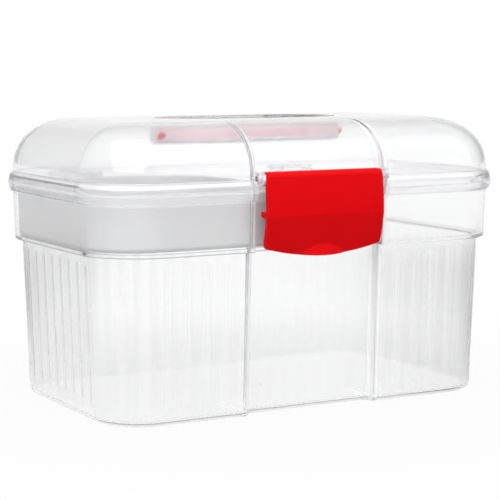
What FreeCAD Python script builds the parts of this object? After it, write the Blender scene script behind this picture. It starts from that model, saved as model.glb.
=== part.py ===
import FreeCAD, Part

import math
import os

# Art supply box: a clear tub with a hinged clear lid, a loose tray, a red latch and a red carrying handle.
# Millimetres. X runs along the front, -Y is the front, Z is up, and the base stands on Z = 0.

# Box outline, measured over the bulged rim
rim_length = 250.0
rim_width = 154.7
rim_corner = 36.5
wall = 2.0
floor_thickness = 2.4

# Heights
ledge_height = 86.2
rim_bottom = 112.6
parting_height = 117.0
parting_gap = 0.2
dome_base = 123.5
lid_top = 152.45

# How far each part of the side stands inside the rim
base_inset = 10.2
ledge_inset = 7.3
collar_bottom_inset = 3.3
collar_top_inset = 2.5
foot_round = 3.4
collar_round = 1.0

# Dome of the lid
dome_end_inset = 33.5
dome_side_inset = 37.3
dome_top_corner = 6.0
dome_fullness = 2.32
dome_sections = 9
round_sections = 5

# Recess down the middle of the front
recess_width = 76.6
recess_depth = 5.0
recess_edge = 1.6
recess_edge_least = 0.5
recess_root = 1.2
recess_straight = 0.1

# Shallow flutes inside the lower walls
flute_width = 5.8
flute_depth = 0.3
flute_pitch = 11.0
flute_bottom = 11.0
flute_top_gap = 5.0
front_flute_start = 53.0
front_flutes = 4
back_flutes = 16
end_flutes = 8

# Moulding gate ring under the floor
gate_ring_diameter = 11.0
gate_ring_width = 1.2
gate_ring_depth = 0.5

# Rear hinges
hinge_spacing = 144.0
hinge_width = 28.0
hinge_leaf = 13.2
hinge_side_gap = 0.4
hinge_pin_diameter = 3.0
hinge_knuckle_diameter = 6.4
hinge_rise = 1.5
hinge_rim_gap = 0.4

# Latch and the pin that it hangs on
latch_room = 3.3
latch_thickness = 2.4
latch_pin_diameter = 3.2
latch_pin_height = 124.1
latch_pin_reach = 5.6
latch_clip_diameter = 7.0
latch_clip_mouth = 2.6
latch_crease_height = 105.0
latch_crease_reach = 11.4
latch_top_bow = 1.0
latch_foot_height = 83.4
latch_foot_reach = 6.6
latch_foot_bow = 0.8
latch_corner_rise = 4.2
latch_corner_round = 3.0
latch_hook_height = 107.0
latch_hook_thickness = 2.5
latch_side_gap = 0.4
scoop_width = 28.0
scoop_height = 5.5
scoop_depth = 1.3
ear_diameter = 6.6
catch_length = 60.0
catch_reach = 3.4
catch_thickness = 2.5
catch_gap = 0.3

# Handle and the well that it folds into
well_length = 110.0
well_width = 48.0
well_end_flat = 20.0
well_side_flat = 66.0
well_end_round = 16.0
well_side_round = 45.0
well_centre = 6.0
well_floor_height = 142.6
well_wall = 1.8
handle_length = 102.0
handle_gap = 1.2
handle_pivot_y = -1.0
handle_pivot_rise = 3.7
handle_pivot_diameter = 4.0
handle_thickness_below = 3.0
handle_thickness_above = 3.4
handle_heel = 3.4
handle_grip_width = 9.5
handle_arm_width = 7.5
handle_round = 1.6

# Loose tray on the ledge
tray_length = 115.0
tray_top = 117.0
tray_wall = 1.6
tray_gap = 0.8
tray_flare = 0.4
tray_round = 1.5

# Fits of the pins
pin_seat = 0.02
pin_running = 0.08

V = FreeCAD.Vector
ALONG_X = V(1, 0, 0)


def rounded_wire(corners):
    """Closed wire through (point, radius) corners, with an arc at every corner."""
    arcs = []
    for i, (point, radius) in enumerate(corners):
        to_last = (corners[i - 1][0] - point).normalize()
        to_next = (corners[(i + 1) % len(corners)][0] - point).normalize()
        half = to_last.getAngle(to_next) / 2
        reach = radius / math.tan(half)
        middle = (to_last + to_next).normalize() * (radius / math.sin(half) - radius)
        arcs.append((point + to_last * reach, point + middle, point + to_next * reach))
    edges = []
    for i, (start, middle, end) in enumerate(arcs):
        edges.append(Part.Arc(start, middle, end).toShape())
        edges.append(Part.LineSegment(end, arcs[(i + 1) % len(arcs)][0]).toShape())
    return Part.Wire(edges)


def ring(z, inset_x, inset_y, corner, skin=0.0):
    """Outline of the box at one height, with its recess; skin moves it to the inner face of the wall."""
    half_x = rim_length / 2 - inset_x - skin
    half_y = rim_width / 2 - inset_y - skin
    side = recess_width / 2 + skin
    back = recess_depth - half_y
    edge = max(recess_edge - skin, recess_edge_least)
    root = min(recess_root + skin, recess_depth - edge - recess_straight)
    return rounded_wire([
        (V(-half_x, -half_y, z), corner),
        (V(-side, -half_y, z), edge),
        (V(-side, back, z), root),
        (V(side, back, z), root),
        (V(side, -half_y, z), edge),
        (V(half_x, -half_y, z), corner),
        (V(half_x, half_y, z), corner),
        (V(-half_x, half_y, z), corner),
    ])


def offset_ring(z, inset, skin=0.0):
    """Ring that runs parallel to the rim."""
    return ring(z, inset, inset, rim_corner - inset - skin, skin)


def loft(rings, ruled=False):
    return Part.makeLoft(rings, True, ruled)


def quarter_steps():
    """Angles of the sections through a rounded edge."""
    return [math.pi / 2 * i / (round_sections - 1) for i in range(round_sections)]


def rounded_under(z, inset, height, depth, skin=0.0):
    """Slab whose lower edge rolls in by depth over the given height."""
    rings = []
    for a in quarter_steps():
        rings.append(offset_ring(z + height * (1 - math.cos(a)), inset + depth * (1 - math.sin(a)), skin))
    return loft(rings)


def join(first, *others):
    return first.fuse(list(others)).removeSplitter()


def prism(points, x_from, x_to):
    """Outline in Y and Z, drawn out along X."""
    corners = [V(x_from, y, z) for y, z in points]
    face = Part.Face(Part.makePolygon(corners + corners[:1]))
    return face.extrude(V(x_to - x_from, 0, 0))


def rod(diameter, x_from, x_to, y, z):
    return Part.makeCylinder(diameter / 2, x_to - x_from, V(x_from, y, z), ALONG_X)


# Places that several pieces share
half_width = rim_width / 2
lid_bottom = parting_height + parting_gap
hinge_y = half_width + hinge_rim_gap + hinge_knuckle_diameter / 2
hinge_z = parting_height + hinge_rise
recess_collar_y = recess_depth + collar_bottom_inset - half_width
latch_width = recess_width - 2 * latch_room
latch_pin_y = recess_depth + collar_top_inset - half_width - latch_pin_reach
handle_pivot_z = well_floor_height + handle_pivot_rise
wall_slope = (base_inset - ledge_inset) / (ledge_height - foot_round)
ledge_top = ledge_height + wall


def wall_inset(z):
    """Inset of the lower wall's outer face at a height."""
    return base_inset - wall_slope * (z - foot_round)


def flute(along, across, turn):
    """One flute: a tilted cylinder that scoops a wall's inner face. turn brings it round from the front."""
    radius = (flute_width ** 2 / 4 + flute_depth ** 2) / (2 * flute_depth)
    flute_top = ledge_height - flute_top_gap
    low = across - wall_inset(flute_bottom) - wall - radius + flute_depth
    high = across - wall_inset(flute_top) - wall - radius + flute_depth
    start = V(along, -low, flute_bottom)
    run = V(along, -high, flute_top) - start
    cutter = Part.makeCylinder(radius, run.Length, start, run)
    cutter.rotate(V(0, 0, 0), V(0, 0, 1), turn)
    return cutter


def flutes():
    cutters = []
    for i in range(front_flutes):
        for side in (-1, 1):
            cutters.append(flute(side * (front_flute_start + i * flute_pitch), half_width, 0))
    for i in range(back_flutes):
        cutters.append(flute((i - (back_flutes - 1) / 2) * flute_pitch, half_width, 180))
    for i in range(end_flutes):
        for turn in (90, 270):
            cutters.append(flute((i - (end_flutes - 1) / 2) * flute_pitch, rim_length / 2, turn))
    return Part.makeCompound(cutters)


def hinge_places():
    """Left edge of each of the two rear hinges."""
    return [side * hinge_spacing / 2 - hinge_width / 2 for side in (-1, 1)]


def hinge_lugs():
    """Pairs of lugs behind the tub's rim that hold the hinge pins."""
    radius = hinge_knuckle_diameter / 2
    front = half_width + hinge_rim_gap
    root = half_width - collar_top_inset
    profile = [
        (root, rim_bottom),
        (hinge_y, hinge_z - radius),
        (hinge_y, hinge_z),
        (front, hinge_z),
        (front, parting_height),
        (root, parting_height),
    ]
    lug_width = (hinge_width - hinge_leaf) / 2 - hinge_side_gap
    lugs = []
    for left in hinge_places():
        for x in (left, left + hinge_width - lug_width):
            barrel = rod(hinge_knuckle_diameter, x, x + lug_width, hinge_y, hinge_z)
            lugs.append(prism(profile, x, x + lug_width).fuse(barrel))
    return lugs


def hinge_leaves():
    """Knuckles behind the lid's rim that turn on the hinge pins."""
    radius = hinge_knuckle_diameter / 2
    root = half_width - wall
    profile = [
        (root, hinge_z),
        (hinge_y, hinge_z),
        (hinge_y, hinge_z + radius),
        (root, hinge_z + radius / 2),
    ]
    leaves = []
    for left in hinge_places():
        x = left + (hinge_width - hinge_leaf) / 2
        barrel = rod(hinge_knuckle_diameter, x, x + hinge_leaf, hinge_y, hinge_z)
        leaves.append(prism(profile, x, x + hinge_leaf).fuse(barrel))
    return leaves


def hinge_bores(clearance):
    diameter = hinge_pin_diameter + 2 * clearance
    bores = [rod(diameter, left, left + hinge_width, hinge_y, hinge_z) for left in hinge_places()]
    return Part.makeCompound(bores)


def catch_rib():
    """Rib across the tub's recess that the hook snaps under; its top slopes to lead the hook over."""
    tip = recess_collar_y - catch_reach
    root = recess_collar_y + wall / 2
    low = latch_hook_height + catch_gap
    profile = [(root, low), (tip, low), (tip, low + catch_thickness / 2), (root, low + catch_thickness * 2)]
    return prism(profile, -catch_length / 2, catch_length / 2)


def make_tub():
    rim_height = parting_height - rim_bottom
    outside = join(
        rounded_under(0, base_inset, foot_round, foot_round),
        loft([offset_ring(foot_round, base_inset), offset_ring(ledge_height, ledge_inset)], True),
        rounded_under(ledge_height, collar_bottom_inset, collar_round, collar_round),
        loft([
            offset_ring(ledge_height + collar_round, collar_bottom_inset),
            offset_ring(rim_bottom, collar_top_inset),
        ], True),
        rounded_under(rim_bottom, 0, rim_height, collar_top_inset),
    )
    inner_round = foot_round - wall
    inner_foot = floor_thickness + inner_round
    inside = join(
        rounded_under(floor_thickness, wall_inset(inner_foot), inner_round, inner_round, wall),
        loft([
            offset_ring(inner_foot, wall_inset(inner_foot), wall),
            offset_ring(ledge_top, wall_inset(ledge_top), wall),
        ], True),
        loft([
            offset_ring(ledge_top, collar_bottom_inset, wall),
            offset_ring(rim_bottom, collar_top_inset, wall),
            offset_ring(parting_height, collar_top_inset, wall),
        ], True),
    )
    gate_radius = gate_ring_diameter / 2
    gate_ring = Part.makeCylinder(gate_radius, gate_ring_depth)
    gate_ring = gate_ring.cut(Part.makeCylinder(gate_radius - gate_ring_width, gate_ring_depth))
    shell = outside.cut(inside).cut(flutes()).cut(gate_ring)
    return join(shell, catch_rib(), *hinge_lugs()).cut(hinge_bores(pin_seat))


def dome(skin):
    """Dome of the lid as one closed form; skin gives the hollow inside it."""
    base_corner = rim_corner - collar_top_inset - skin
    rings = []
    for i in range(dome_sections):
        a = math.pi / 2 * i / (dome_sections - 1)
        rise = math.sin(a) ** (2 / dome_fullness)
        lean = 1 - max(math.cos(a), 0) ** (2 / dome_fullness)
        rings.append(ring(
            dome_base + (lid_top - skin - dome_base) * rise,
            collar_top_inset + (dome_end_inset - skin) * lean,
            collar_top_inset + (dome_side_inset - skin) * lean,
            base_corner - (base_corner - dome_top_corner) * lean,
            skin,
        ))
    return loft(rings)


def lid_rim():
    """Bulged rim under the dome, which rolls in to the dome's foot."""
    rings = []
    for a in quarter_steps():
        z = lid_bottom + (dome_base - lid_bottom) * math.sin(a)
        rings.append(offset_ring(z, collar_top_inset * (1 - math.cos(a))))
    return loft(rings)


def lid_rim_hollow():
    return loft([
        offset_ring(lid_bottom, 0, wall),
        offset_ring((lid_bottom + dome_base) / 2, 0, wall),
        offset_ring(dome_base, collar_top_inset, wall),
    ], True)


def well_wire(z, grow=0.0):
    """Oval outline of the handle's well, made of straight runs and generous rounds."""
    end = well_length / 2
    side = well_width / 2
    flat_end = well_end_flat / 2
    flat_side = well_side_flat / 2
    corners = [
        (end, -flat_end, well_end_round), (end, flat_end, well_end_round),
        (flat_side, side, well_side_round), (-flat_side, side, well_side_round),
        (-end, flat_end, well_end_round), (-end, -flat_end, well_end_round),
        (-flat_side, -side, well_side_round), (flat_side, -side, well_side_round),
    ]
    wire = rounded_wire([(V(x, y + well_centre, z), radius) for x, y, radius in corners])
    return wire.makeOffset2D(grow) if grow else wire


def well_block(z_from, z_to, grow):
    return Part.Face(well_wire(z_from, grow)).extrude(V(0, 0, z_to - z_from))


def latch_ears():
    """Ears on both sides of the lid's recess that carry the latch pin."""
    root = recess_depth + collar_top_inset - half_width + wall / 2
    radius = ear_diameter / 2
    ears = []
    for side in (-1, 1):
        inner = side * (latch_width / 2 + latch_side_gap)
        outer = side * (recess_width / 2 + wall / 2)
        low, high = min(inner, outer), max(inner, outer)
        web = [
            (root, latch_pin_height - radius),
            (latch_pin_y, latch_pin_height - radius),
            (latch_pin_y, latch_pin_height + radius),
            (root, latch_pin_height + radius),
        ]
        boss = rod(ear_diameter, low, high, latch_pin_y, latch_pin_height)
        ears.append(prism(web, low, high).fuse(boss))
    return ears


def latch_pin_end():
    return recess_width / 2 + wall / 2


def make_lid():
    shell = join(lid_rim(), dome(0)).cut(join(lid_rim_hollow(), dome(wall)))
    well = well_block(well_floor_height - well_wall, lid_top - wall / 2, well_wall)
    shell = join(shell, well, *latch_ears(), *hinge_leaves())
    shell = shell.cut(well_block(well_floor_height, lid_top + wall, 0))
    pin_end = latch_pin_end()
    pin_hole = rod(latch_pin_diameter + 2 * pin_seat, -pin_end, pin_end, latch_pin_y, latch_pin_height)
    pivot_reach = well_length / 2 + well_wall
    pivot_hole = rod(
        handle_pivot_diameter + 2 * pin_running, -pivot_reach, pivot_reach, handle_pivot_y, handle_pivot_z
    )
    return shell.cut(pin_hole).cut(pivot_hole).cut(hinge_bores(pin_running))


def make_latch_pin():
    return rod(latch_pin_diameter, -latch_pin_end(), latch_pin_end(), latch_pin_y, latch_pin_height)


def latch_profile():
    """Side view of the latch's plate: bowed in two stretches that meet at the crease."""
    recess_y = recess_collar_y
    radius = latch_clip_diameter / 2
    thick = latch_thickness
    top = V(0, latch_pin_y - radius, latch_pin_height)
    crease = V(0, recess_y - latch_crease_reach, latch_crease_height)
    foot = V(0, recess_y - latch_foot_reach, latch_foot_height)
    back = V(0, thick, 0)
    upper = (top + crease) / 2 - V(0, latch_top_bow, 0)
    lower = (crease + foot) / 2 - V(0, latch_foot_bow, 0)
    edges = [
        Part.Arc(top, upper, crease).toShape(),
        Part.Arc(crease, lower, foot).toShape(),
        Part.LineSegment(foot, foot + back).toShape(),
        Part.Arc(foot + back, lower + back, crease + back).toShape(),
        Part.Arc(crease + back, upper + back, top + back).toShape(),
        Part.LineSegment(top + back, top).toShape(),
    ]
    return Part.Face(Part.Wire(edges))


def latch_front():
    """Front view of the latch: rounded lower corners and a lower edge that bows down to the middle."""
    half = latch_width / 2
    top = latch_pin_height + latch_clip_diameter / 2
    corner = latch_foot_height + latch_corner_rise
    depth = rim_width
    round_off = latch_corner_round
    slant = round_off * math.sqrt(0.5)
    edges = [
        Part.LineSegment(V(half, 0, top), V(-half, 0, top)).toShape(),
        Part.LineSegment(V(-half, 0, top), V(-half, 0, corner + round_off)).toShape(),
        Part.Arc(
            V(-half, 0, corner + round_off),
            V(-half + round_off - slant, 0, corner + round_off - slant),
            V(-half + round_off, 0, corner),
        ).toShape(),
        Part.Arc(
            V(-half + round_off, 0, corner), V(0, 0, latch_foot_height), V(half - round_off, 0, corner)
        ).toShape(),
        Part.Arc(
            V(half - round_off, 0, corner),
            V(half - round_off + slant, 0, corner + round_off - slant),
            V(half, 0, corner + round_off),
        ).toShape(),
        Part.LineSegment(V(half, 0, corner + round_off), V(half, 0, top)).toShape(),
    ]
    return Part.Face(Part.Wire(edges)).extrude(V(0, -depth, 0))


def latch_hook():
    """Rib along the back of the latch that sits under the tub's catch, just clear of it."""
    tip = recess_collar_y - catch_reach - catch_gap
    root = recess_collar_y - latch_crease_reach + latch_thickness / 2
    high = latch_hook_height
    low = latch_hook_height - latch_hook_thickness
    profile = [(root, low - latch_hook_thickness / 2), (tip, low), (tip, high), (root, high)]
    return prism(profile, -latch_width / 2, latch_width / 2)


def thumb_scoop():
    """Slanting cylinder that leaves a thumbnail hollow at the foot of the latch."""
    radius = (scoop_width ** 2 / 4 + scoop_depth ** 2) / (2 * scoop_depth)
    face_height = latch_crease_height - latch_foot_height
    face_slope = (latch_crease_reach - latch_foot_reach + 4 * latch_foot_bow) / face_height
    tilt = math.atan(face_slope + scoop_depth / scoop_height)
    along = V(0, -math.sin(tilt), math.cos(tilt))
    inward = V(0, math.cos(tilt), math.sin(tilt))
    deepest = V(0, recess_collar_y - latch_foot_reach + scoop_depth, latch_foot_height)
    start = deepest - inward * radius - along * face_height
    return Part.makeCylinder(radius, 2 * face_height, start, along)


def make_latch():
    half = latch_width / 2
    plate = latch_profile()
    plate.translate(V(-half, 0, 0))
    plate = plate.extrude(V(latch_width, 0, 0))
    clip = rod(latch_clip_diameter, -half, half, latch_pin_y, latch_pin_height)
    body = join(plate, clip, latch_hook()).common(latch_front())
    bore = rod(latch_pin_diameter + 2 * pin_running, -half, half, latch_pin_y, latch_pin_height)
    mouth = Part.makeBox(
        latch_width, latch_clip_diameter, latch_clip_mouth,
        V(-half, latch_pin_y, latch_pin_height - latch_clip_mouth / 2),
    )
    return body.cut(bore).cut(mouth).cut(thumb_scoop())


def handle_side_view(low, high, front, back):
    """Side view of the folded handle; its heel is round below, and its upper corner stops it upright."""
    heel_round = handle_thickness_below
    slant = heel_round * math.sqrt(0.5)
    edges = [
        Part.LineSegment(V(0, front + heel_round, low), V(0, back, low)).toShape(),
        Part.LineSegment(V(0, back, low), V(0, back, high)).toShape(),
        Part.LineSegment(V(0, back, high), V(0, front, high)).toShape(),
        Part.LineSegment(V(0, front, high), V(0, front, low + heel_round)).toShape(),
        Part.Arc(
            V(0, front, low + heel_round),
            V(0, front + heel_round - slant, low + heel_round - slant),
            V(0, front + heel_round, low),
        ).toShape(),
    ]
    return Part.Face(Part.Wire(edges))


def make_handle():
    low = handle_pivot_z - handle_thickness_below
    high = handle_pivot_z + handle_thickness_above
    front = handle_pivot_y - handle_heel
    back = well_centre + well_width / 2
    arm = handle_length / 2 - handle_arm_width
    grip = back - handle_gap - handle_grip_width
    corner = handle_arm_width
    gap = rounded_wire([
        (V(-arm, front - 2 * corner, low), corner / 2),
        (V(arm, front - 2 * corner, low), corner / 2),
        (V(arm, grip, low), corner),
        (V(-arm, grip, low), corner),
    ])
    bail = well_block(low, high, -handle_gap).cut(Part.Face(gap).extrude(V(0, 0, high - low)))
    side_view = handle_side_view(low, high, front, back)
    side_view.translate(V(-handle_length / 2, 0, 0))
    bail = bail.common(side_view.extrude(V(handle_length, 0, 0)))
    rims = []
    for edge in bail.Edges:
        box = edge.BoundBox
        if box.ZLength < 1e-6 and box.YMin > handle_pivot_y + handle_thickness_above:
            rims.append(edge)
    bail = bail.makeFillet(handle_round, rims)
    pivots = []
    for side in (-1, 1):
        root = side * (arm + handle_arm_width / 2)
        tip = side * (well_length / 2 + well_wall)
        low_x, high_x = sorted((root, tip))
        pivots.append(rod(handle_pivot_diameter, low_x, high_x, handle_pivot_y, handle_pivot_z))
    return join(bail, *pivots)


def tray_ring(z, grow, skin=0.0):
    """Outline of the tray, which follows the collar behind and at the left and clears the recess."""
    left = -(rim_length / 2 - collar_bottom_inset - wall - tray_gap + grow) + skin
    right = left + tray_length + 2 * grow - 2 * skin
    front = recess_collar_y + wall + tray_gap - grow + skin
    back = half_width - collar_bottom_inset - wall - tray_gap + grow - skin
    corner = rim_corner - collar_bottom_inset - wall - tray_gap + grow - skin
    return rounded_wire([
        (V(left, front, z), corner), (V(right, front, z), corner),
        (V(right, back, z), corner), (V(left, back, z), corner),
    ])


def tray_form(z_from, skin, edge_round):
    """Solid of the tray, flared to the top and rounded at the bottom edge."""
    rings = []
    for a in quarter_steps():
        rise = edge_round * (1 - math.cos(a))
        rings.append(tray_ring(z_from + rise, -edge_round * (1 - math.sin(a)), skin))
    walls = loft([tray_ring(z_from + edge_round, 0, skin), tray_ring(tray_top, tray_flare, skin)], True)
    return join(loft(rings), walls)


def make_tray():
    outside = tray_form(ledge_top, 0, tray_round + tray_wall)
    return outside.cut(tray_form(ledge_top + tray_wall, tray_wall, tray_round))


def make_hinge_pin(left):
    return rod(hinge_pin_diameter, left, left + hinge_width, hinge_y, hinge_z)


os.makedirs("parts", exist_ok=True)
left_hinge, right_hinge = hinge_places()
pieces = {
    "tub": make_tub(),
    "lid": make_lid(),
    "tray": make_tray(),
    "latch": make_latch(),
    "latch_pin": make_latch_pin(),
    "handle": make_handle(),
    "hinge_pin_left": make_hinge_pin(left_hinge),
    "hinge_pin_right": make_hinge_pin(right_hinge),
}
for name, shape in pieces.items():
    shape.exportStep(f"parts/{name}.step")
    print(name, "valid", shape.isValid(), "solids", len(shape.Solids), "volume", round(shape.Volume))
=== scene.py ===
import math

import bmesh
import bpy
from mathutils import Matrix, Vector


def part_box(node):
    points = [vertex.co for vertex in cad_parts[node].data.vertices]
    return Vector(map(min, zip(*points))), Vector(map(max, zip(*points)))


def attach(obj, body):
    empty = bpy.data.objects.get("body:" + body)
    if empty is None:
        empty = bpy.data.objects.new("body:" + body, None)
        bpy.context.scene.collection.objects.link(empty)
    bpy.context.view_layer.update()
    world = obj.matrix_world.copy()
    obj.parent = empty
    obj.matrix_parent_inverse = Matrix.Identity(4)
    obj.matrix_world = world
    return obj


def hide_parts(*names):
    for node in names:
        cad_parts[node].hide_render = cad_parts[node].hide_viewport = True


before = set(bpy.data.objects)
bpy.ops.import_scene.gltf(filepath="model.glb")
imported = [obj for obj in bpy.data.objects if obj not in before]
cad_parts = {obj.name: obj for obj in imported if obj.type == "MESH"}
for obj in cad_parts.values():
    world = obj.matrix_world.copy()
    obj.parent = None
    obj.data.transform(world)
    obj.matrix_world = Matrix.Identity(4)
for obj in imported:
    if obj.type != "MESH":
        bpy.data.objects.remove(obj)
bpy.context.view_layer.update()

# Tub: the lower half of the box, one injection moulding of clear styrene with 2 mm walls. A wider collar
# stands on a ledge, a rolled bead strengthens the rim and a shallow recess runs down the front. Flutes
# inside stiffen the lower walls; the catch for the latch and the hinge lugs are moulded on.
mm = 0.001
rim_half_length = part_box("tub")[1].x
rim_half_width = -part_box("tub")[0].y
rim_corner = 36.5 * mm
wall = 2.0 * mm
floor_thickness = 2.4 * mm
parting_height = 117.0 * mm
rim_bottom = 112.6 * mm
ledge_height = 86.2 * mm
bead_roll = 2.5 * mm
collar_inset = 3.3 * mm
collar_round = 1.0 * mm
ledge_inset = 7.3 * mm
ledge_fall = 0.2 * mm
base_inset = 10.2 * mm
foot_round = 3.4 * mm
recess_half = 38.3 * mm
recess_depth = 5.0 * mm
recess_edge = 1.6 * mm
recess_edge_least = 0.5 * mm
recess_root = 1.2 * mm
recess_zone = 60.0 * mm
recess_facets = 5
corner_facets = 14
roll_steps = 6
collar_steps = 4
flat_angle = 1
clear_shading = 24
tolerance = 0.01 * mm
margin = 0.1 * mm


def start_piece(name):
    """Names the primitive that was just added and settles its size and place in its mesh."""
    piece = bpy.context.object
    piece.name = name
    bpy.ops.object.transform_apply(location=True, rotation=True, scale=True)
    return piece


def select_only(piece):
    bpy.ops.object.select_all(action="DESELECT")
    piece.select_set(True)
    bpy.context.view_layer.objects.active = piece


def open_piece(piece):
    select_only(piece)
    bpy.ops.object.mode_set(mode="EDIT")
    bpy.ops.mesh.select_mode(type="VERT")


def close_piece():
    bpy.ops.object.mode_set(mode="OBJECT")


def pick(piece, wanted):
    """Selects the points of the open piece that wanted(point) accepts, and what lies between them."""
    shape = bmesh.from_edit_mesh(piece.data)
    for point in shape.verts:
        point.select = wanted(point)
    shape.select_flush_mode()
    bmesh.update_edit_mesh(piece.data)


def near(a, b):
    return abs(a - b) < tolerance


def round_corners(piece, wanted, reach, facets):
    """Rounds the picked corners of a flat outline."""
    pick(piece, wanted)
    bpy.ops.mesh.bevel(offset=reach, segments=facets, affect="VERTICES", profile=0.5)


def merge_outline():
    """Makes one flat face of the outline's patches."""
    bpy.ops.mesh.select_all(action="SELECT")
    bpy.ops.mesh.dissolve_limited(angle_limit=math.radians(flat_angle))


def rim_outline(name, z, inset, skin):
    """Flat face in the box's outline at an inset, or skin further in, left open for editing."""
    half_length = rim_half_length - inset - skin
    half_width = rim_half_width - inset - skin
    side_wall = recess_half + skin
    front = recess_depth - half_width
    bpy.ops.object.select_all(action="DESELECT")
    bpy.ops.mesh.primitive_plane_add(size=2, location=(0, recess_depth / 2, z))
    bpy.context.object.scale = (half_length, half_width - recess_depth / 2, 1)
    piece = start_piece(name)
    open_piece(piece)
    for side in (-1, 1):
        bpy.ops.mesh.select_all(action="SELECT")
        bpy.ops.mesh.bisect(plane_co=(side * side_wall, 0, z), plane_no=(1, 0, 0))
    for side in (-1, 1):
        pick(piece, lambda p: near(p.co.y, front) and p.co.x * side > side_wall - margin)
        bpy.ops.mesh.extrude_region_move(TRANSFORM_OT_translate={"value": (0, -recess_depth, 0)})
    merge_outline()
    round_corners(piece, lambda p: abs(p.co.x) > recess_zone, rim_corner - inset - skin, corner_facets)
    edge = max(recess_edge - skin, recess_edge_least)
    for y, reach in ((-half_width, edge), (front, recess_root + skin)):
        round_corners(
            piece, lambda p: abs(p.co.x) < recess_zone and near(p.co.y, y), reach, recess_facets
        )
    bpy.ops.mesh.select_all(action="SELECT")
    return piece


def draw_out(piece, half, middle, levels):
    """Draws the outline out to a closed form. A level is (height, end inset, side inset, corner round)."""
    last = levels[0]
    for level in levels[1:]:
        height, end, side, corner = level
        bpy.ops.mesh.extrude_region_move(TRANSFORM_OT_translate={"value": (0, 0, height - last[0])})
        ring = {p.index for p in bmesh.from_edit_mesh(piece.data).verts if p.select}
        shrink = corner / last[3]
        for x in (-1, 1):
            for y in (-1, 1):
                pick(piece, lambda p: p.index in ring and (p.co.x - middle[0]) * x > half[2]
                     and (p.co.y - middle[1]) * y > 0)
                centre = (
                    middle[0] + x * (half[0] - last[1] - last[3]),
                    middle[1] + y * (half[1] - last[2] - last[3]),
                    height,
                )
                bpy.ops.transform.resize(value=(shrink, shrink, 1), center_override=centre)
                shift = (x * (last[1] + last[3] - end - corner), y * (last[2] + last[3] - side - corner), 0)
                bpy.ops.transform.translate(value=shift)
        pick(piece, lambda p: p.index in ring and abs(p.co.x - middle[0]) < half[2] and p.co.y < middle[1])
        bpy.ops.transform.translate(value=(0, side - last[2], 0))
        pick(piece, lambda p: p.index in ring)
        last = level
    bpy.ops.mesh.select_all(action="SELECT")
    bpy.ops.mesh.normals_make_consistent(inside=False)
    close_piece()


def rim_level(height, inset, skin=0):
    """Level that runs parallel to the rim."""
    return (height, inset + skin, inset + skin, rim_corner - inset - skin)


def quarter(steps):
    """Angles through a rounded edge, from its start to its end."""
    return [math.pi / 2 * i / steps for i in range(1, steps + 1)]


def apply_last(piece):
    select_only(piece)
    bpy.ops.object.modifier_apply(modifier=piece.modifiers[-1].name)


def combine(piece, other, operation):
    """Adds another shape to a piece, or cuts or keeps by it, and clears the other away."""
    step = piece.modifiers.new(operation.lower(), "BOOLEAN")
    step.operation = operation
    step.object = other
    step.solver = "EXACT"
    step.use_self = operation == "UNION"
    apply_last(piece)
    bpy.data.objects.remove(other)


def joined(name, parts):
    """One object of several separate shapes."""
    bpy.ops.object.select_all(action="DESELECT")
    for part in parts:
        part.select_set(True)
    bpy.context.view_layer.objects.active = parts[0]
    bpy.ops.object.join()
    parts[0].name = name
    return parts[0]


def rod(name, diameter, x_from, x_to, y, z, facets=48):
    """Round bar along X."""
    bpy.ops.object.select_all(action="DESELECT")
    bpy.ops.mesh.primitive_cylinder_add(
        vertices=facets, radius=diameter / 2, depth=abs(x_to - x_from),
        location=((x_from + x_to) / 2, y, z), rotation=(0, math.pi / 2, 0),
    )
    return start_piece(name)


def block(name, x, y, z):
    """Block between pairs of X, Y and Z."""
    bpy.ops.object.select_all(action="DESELECT")
    bpy.ops.mesh.primitive_cube_add(size=1, location=[sum(pair) / 2 for pair in (x, y, z)])
    bpy.context.object.scale = [pair[1] - pair[0] for pair in (x, y, z)]
    return start_piece(name)


def slope_edge(piece, y, z, move):
    """Moves the edge of a block that lies at y and z, so that the faces beside it slope."""
    open_piece(piece)
    pick(piece, lambda p: near(p.co.y, y) and near(p.co.z, z))
    bpy.ops.transform.translate(value=(0, 0, move))
    close_piece()


def smooth(piece, angle):
    """Shades edges below the angle as curved, with the wide faces kept flat."""
    select_only(piece)
    bpy.ops.object.shade_smooth_by_angle(angle=math.radians(angle))
    flats = piece.modifiers.new("flats", "WEIGHTED_NORMAL")
    flats.keep_sharp = True
    apply_last(piece)


tub = rim_outline("tub_moulding", parting_height, 0, 0)
tub_levels = [rim_level(parting_height, 0)]
for turn in quarter(roll_steps):
    drop = (parting_height - rim_bottom) * math.sin(turn)
    tub_levels.append(rim_level(parting_height - drop, bead_roll * (1 - math.cos(turn))))
tub_levels.append(rim_level(ledge_height + collar_round, collar_inset))
for turn in quarter(collar_steps):
    drop = collar_round * math.sin(turn)
    tub_levels.append(rim_level(
        ledge_height + collar_round - drop, collar_inset + collar_round * (1 - math.cos(turn))
    ))
tub_levels.append(rim_level(ledge_height - ledge_fall, ledge_inset))
tub_levels.append(rim_level(foot_round, base_inset))
for turn in quarter(roll_steps):
    tub_levels.append(rim_level(
        foot_round * (1 - math.sin(turn)), base_inset + foot_round * (1 - math.cos(turn))
    ))
box_half = (rim_half_length, rim_half_width, recess_zone)
draw_out(tub, box_half, (0, 0), tub_levels)
wall_slope = (base_inset - ledge_inset) / (ledge_height - foot_round)
inner_round = foot_round - wall
inner_foot = floor_thickness + inner_round
inner_base = base_inset - wall_slope * (inner_foot - foot_round)
hollow_levels = [
    rim_level(parting_height + wall, bead_roll, wall),
    rim_level(rim_bottom, bead_roll, wall),
    rim_level(ledge_height + wall, collar_inset, wall),
    rim_level(ledge_height + wall - ledge_fall, ledge_inset - wall_slope * wall, wall),
    rim_level(inner_foot, inner_base, wall),
]
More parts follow.
